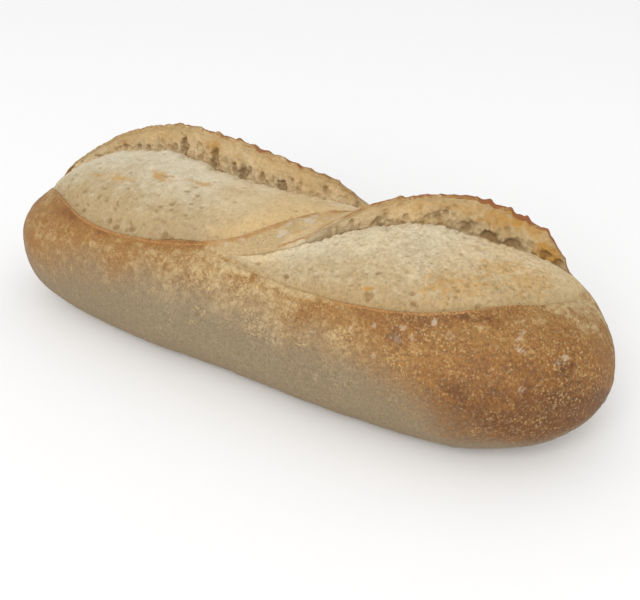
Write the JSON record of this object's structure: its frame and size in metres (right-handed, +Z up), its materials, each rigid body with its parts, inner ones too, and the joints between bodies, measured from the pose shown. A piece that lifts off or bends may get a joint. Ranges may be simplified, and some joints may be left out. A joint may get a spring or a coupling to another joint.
{
  "type": "batard loaf",
  "caption": "Short plump wheat loaf with a golden crust and overlapping diagonal slashes that have opened into pale crumb under lifted ears.",
  "frame": {"origin": "centre of the loaf's outline on the plane that it rests on", "axes": "+X along the loaf towards its fatter end, +Y towards the back, which the ears lean over from, +Z up"},
  "size_m": [0.3, 0.104, 0.0872],
  "materials": {
    "crust": "matte baked wheat crust, golden tan with browner ends and rims, fine pale speckles and a few spots of flour",
    "crumb": "matte pale cream wheat crumb with small pits, toasted tan towards its rim and up the torn faces of the ears"
  },
  "bodies": {
    "root": {"loaf": "crust"}
  },
  "joints": []
}
